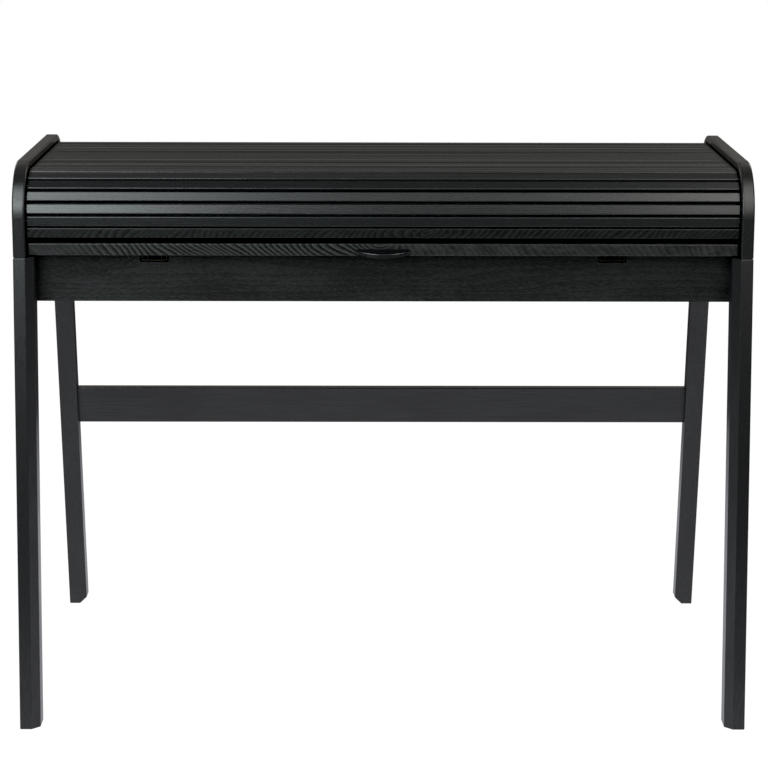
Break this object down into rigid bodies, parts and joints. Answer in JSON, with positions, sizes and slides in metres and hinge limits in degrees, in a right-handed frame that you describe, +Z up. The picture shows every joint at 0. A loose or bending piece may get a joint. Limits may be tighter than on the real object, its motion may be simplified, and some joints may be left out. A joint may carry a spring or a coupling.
{
  "type": "tambour desk",
  "caption": "Wooden writing desk on raked legs with a slatted roll-top: pulling out the worktop on ball slides rolls the tambour back round the case.",
  "frame": {"origin": "on the floor, in the middle of the desk's width and depth", "axes": "+X to the sitter's right, +Y to the back, +Z up"},
  "size_m": [1.1, 0.6996, 0.85],
  "materials": {
    "frame_ash": "black stained and lacquered, satin",
    "tambour_ash": "black stained open-grain ash, satin",
    "worktop_ash": "black stained open-grain ash veneer, satin",
    "bare_beech": "bare beech",
    "zinc_steel": "blackened zinc plate",
    "bearing_steel": "bright"
  },
  "bodies": {
    "frame": {"panel_dowels": "bare_beech", "stretcher_dowels": "bare_beech", "rail_dowels": "bare_beech", "left_side_panel": "frame_ash", "right_side_panel": "frame_ash", "left_front_leg": "frame_ash", "right_front_leg": "frame_ash", "left_rear_leg": "frame_ash", "right_rear_leg": "frame_ash", "left_side_rail": "frame_ash", "right_side_rail": "frame_ash", "front_apron": "frame_ash", "rear_rail": "frame_ash", "rear_stretcher": "frame_ash", "left_slide_bearer": "bare_beech", "right_slide_bearer": "bare_beech", "left_slide_outer": "zinc_steel", "right_slide_outer": "zinc_steel"},
    "worktop": {"left_slide_inner": "zinc_steel", "right_slide_inner": "zinc_steel", "worktop_board": "worktop_ash", "worktop_lipping": "worktop_ash", "tail_clamp": "worktop_ash", "finger_pull": "worktop_ash"},
    "left_ball_cage": {"left_ball_cage": "bearing_steel"},
    "right_ball_cage": {"right_ball_cage": "bearing_steel"},
    "top_slats": {"tambour_top_slats": "tambour_ash"},
    "slat_01": {"tambour_slat_01": "tambour_ash"},
    "slat_02": {"tambour_slat_02": "tambour_ash"},
    "slat_03": {"tambour_slat_03": "tambour_ash"},
    "slat_04": {"tambour_slat_04": "tambour_ash"},
    "slat_05": {"tambour_slat_05": "tambour_ash"},
    "slat_06": {"tambour_slat_06": "tambour_ash"},
    "slat_07": {"tambour_slat_07": "tambour_ash"},
    "slat_22": {"tambour_slat_22": "tambour_ash"},
    "slat_23": {"tambour_slat_23": "tambour_ash"},
    "slat_24": {"tambour_slat_24": "tambour_ash"},
    "slat_25": {"tambour_slat_25": "tambour_ash"},
    "slat_26": {"tambour_slat_26": "tambour_ash"},
    "slat_27": {"tambour_slat_27": "tambour_ash"},
    "slat_28": {"tambour_slat_28": "tambour_ash"},
    "slat_29": {"tambour_slat_29": "tambour_ash"},
    "slat_30": {"tambour_slat_30": "tambour_ash"},
    "slat_31": {"tambour_slat_31": "tambour_ash"},
    "slat_32": {"tambour_slat_32": "tambour_ash"},
    "slat_33": {"tambour_slat_33": "tambour_ash"},
    "slat_34": {"tambour_slat_34": "tambour_ash"},
    "slat_35": {"tambour_slat_35": "tambour_ash"},
    "slat_36": {"tambour_slat_36": "tambour_ash"}
  },
  "joints": [
    {"name": "worktop_slide", "type": "slide", "parent": "frame", "child": "worktop", "axis": [0, -1, 0], "range_m": [0, 0.104]},
    {"name": "left_cage_roll", "type": "slide", "parent": "frame", "child": "left_ball_cage", "axis": [0, -1, 0], "range_m": [0, 0.05201]},
    {"name": "right_cage_roll", "type": "slide", "parent": "frame", "child": "right_ball_cage", "axis": [0, -1, 0], "range_m": [0, 0.05201]},
    {"name": "top_slats_travel", "type": "slide", "parent": "frame", "child": "top_slats", "axis": [0, 1, 0], "range_m": [0, 0.10401]},
    {"name": "slat_01_turn", "type": "hinge", "parent": "frame", "child": "slat_01", "pos_m": [0, -0.19506, 0.76105], "axis": [-1, 0, 0], "range_deg": [0, 81.23]},
    {"name": "slat_02_turn", "type": "hinge", "parent": "frame", "child": "slat_02", "pos_m": [0, -0.20137, 0.76538], "axis": [-1, 0, 0], "range_deg": [0, 90]},
    {"name": "slat_03_turn", "type": "hinge", "parent": "frame", "child": "slat_03", "pos_m": [0, -0.19612, 0.75748], "axis": [-1, 0, 0], "range_deg": [0, 79.35]},
    {"name": "slat_04_turn", "type": "hinge", "parent": "frame", "child": "slat_04", "pos_m": [0, -0.18752, 0.7372], "axis": [-1, 0, 0], "range_deg": [0, 61.91]},
    {"name": "slat_05_turn", "type": "hinge", "parent": "frame", "child": "slat_05", "pos_m": [0, -0.17893, 0.69943], "axis": [-1, 0, 0], "range_deg": [0, 44.47]},
    {"name": "slat_06_turn", "type": "hinge", "parent": "frame", "child": "slat_06", "pos_m": [0, -0.17033, 0.61206], "axis": [-1, 0, 0], "range_deg": [0, 27.03]},
    {"name": "slat_07_turn", "type": "hinge", "parent": "frame", "child": "slat_07", "pos_m": [0, -0.16173, 0.20902], "axis": [-1, 0, 0], "range_deg": [0, 9.58]},
    {"name": "slat_22_turn", "type": "hinge", "parent": "frame", "child": "slat_22", "pos_m": [0, 0.08478, 0.39766], "axis": [-1, 0, 0], "range_deg": [0, 13.74]},
    {"name": "slat_23_turn", "type": "hinge", "parent": "frame", "child": "slat_23", "pos_m": [0, 0.09337, 0.64175], "axis": [-1, 0, 0], "range_deg": [0, 31.18]},
    {"name": "slat_24_turn", "type": "hinge", "parent": "frame", "child": "slat_24", "pos_m": [0, 0.10197, 0.71097], "axis": [-1, 0, 0], "range_deg": [0, 48.63]},
    {"name": "slat_25_turn", "type": "hinge", "parent": "frame", "child": "slat_25", "pos_m": [0, 0.11058, 0.74313], "axis": [-1, 0, 0], "range_deg": [0, 66.07]},
    {"name": "slat_26_turn", "type": "hinge", "parent": "frame", "child": "slat_26", "pos_m": [0, 0.11918, 0.76087], "axis": [-1, 0, 0], "range_deg": [0, 83.51]},
    {"name": "slat_27_turn", "type": "hinge", "parent": "frame", "child": "slat_27", "pos_m": [0, 0.12915, 0.77264], "axis": [-1, 0, 0], "range_deg": [0, 104.06]},
    {"name": "slat_28_turn", "type": "hinge", "parent": "frame", "child": "slat_28", "pos_m": [0, 0.13366, 0.77591], "axis": [-1, 0, 0], "range_deg": [0, 113.53]},
    {"name": "slat_29_turn", "type": "hinge", "parent": "frame", "child": "slat_29", "pos_m": [0, 0.1362, 0.77655], "axis": [-1, 0, 0], "range_deg": [0, 118.49]},
    {"name": "slat_30_turn", "type": "hinge", "parent": "frame", "child": "slat_30", "pos_m": [0, 0.13862, 0.77633], "axis": [-1, 0, 0], "range_deg": [0, 123.44]},
    {"name": "slat_31_turn", "type": "hinge", "parent": "frame", "child": "slat_31", "pos_m": [0, 0.13501, 0.7786], "axis": [-1, 0, 0], "range_deg": [0, 114.74]},
    {"name": "slat_32_turn", "type": "hinge", "parent": "frame", "child": "slat_32", "pos_m": [0, 0.12791, 0.78593], "axis": [-1, 0, 0], "range_deg": [0, 97.3]},
    {"name": "slat_33_turn", "type": "hinge", "parent": "frame", "child": "slat_33", "pos_m": [0, 0.12006, 0.80123], "axis": [-1, 0, 0], "range_deg": [0, 76.98]},
    {"name": "slat_34_turn", "type": "hinge", "parent": "frame", "child": "slat_34", "pos_m": [0, 0.11146, 0.83317], "axis": [-1, 0, 0], "range_deg": [0, 54.58]},
    {"name": "slat_35_turn", "type": "hinge", "parent": "frame", "child": "slat_35", "pos_m": [0, 0.10286, 0.91042], "axis": [-1, 0, 0], "range_deg": [0, 32.18]},
    {"name": "slat_36_turn", "type": "hinge", "parent": "frame", "child": "slat_36", "pos_m": [0, 0.09426, 1.33654], "axis": [-1, 0, 0], "range_deg": [0, 9.79]}
  ],
  "couplings": [
    {"joint": "left_cage_roll", "follows": "worktop_slide", "ratio": 0.5},
    {"joint": "right_cage_roll", "follows": "worktop_slide", "ratio": 0.5},
    {"joint": "top_slats_travel", "follows": "worktop_slide", "ratio": 1},
    {"joint": "slat_01_turn", "follows": "worktop_slide", "rad_per_m": 13.632},
    {"joint": "slat_02_turn", "follows": "worktop_slide", "rad_per_m": 15.104},
    {"joint": "slat_03_turn", "follows": "worktop_slide", "rad_per_m": 13.317},
    {"joint": "slat_04_turn", "follows": "worktop_slide", "rad_per_m": 10.39},
    {"joint": "slat_05_turn", "follows": "worktop_slide", "rad_per_m": 7.4626},
    {"joint": "slat_06_turn", "follows": "worktop_slide", "rad_per_m": 4.5354},
    {"joint": "slat_07_turn", "follows": "worktop_slide", "rad_per_m": 1.6082},
    {"joint": "slat_22_turn", "follows": "worktop_slide", "rad_per_m": 2.306},
    {"joint": "slat_23_turn", "follows": "worktop_slide", "rad_per_m": 5.2332},
    {"joint": "slat_24_turn", "follows": "worktop_slide", "rad_per_m": 8.1603},
    {"joint": "slat_25_turn", "follows": "worktop_slide", "rad_per_m": 11.087},
    {"joint": "slat_26_turn", "follows": "worktop_slide", "rad_per_m": 14.015},
    {"joint": "slat_27_turn", "follows": "worktop_slide", "rad_per_m": 17.464},
    {"joint": "slat_28_turn", "follows": "worktop_slide", "rad_per_m": 19.053},
    {"joint": "slat_29_turn", "follows": "worktop_slide", "rad_per_m": 19.884},
    {"joint": "slat_30_turn", "follows": "worktop_slide", "rad_per_m": 20.716},
    {"joint": "slat_31_turn", "follows": "worktop_slide", "rad_per_m": 19.256},
    {"joint": "slat_32_turn", "follows": "worktop_slide", "rad_per_m": 16.329},
    {"joint": "slat_33_turn", "follows": "worktop_slide", "rad_per_m": 12.918},
    {"joint": "slat_34_turn", "follows": "worktop_slide", "rad_per_m": 9.1598},
    {"joint": "slat_35_turn", "follows": "worktop_slide", "rad_per_m": 5.401},
    {"joint": "slat_36_turn", "follows": "worktop_slide", "rad_per_m": 1.6423}
  ]
}
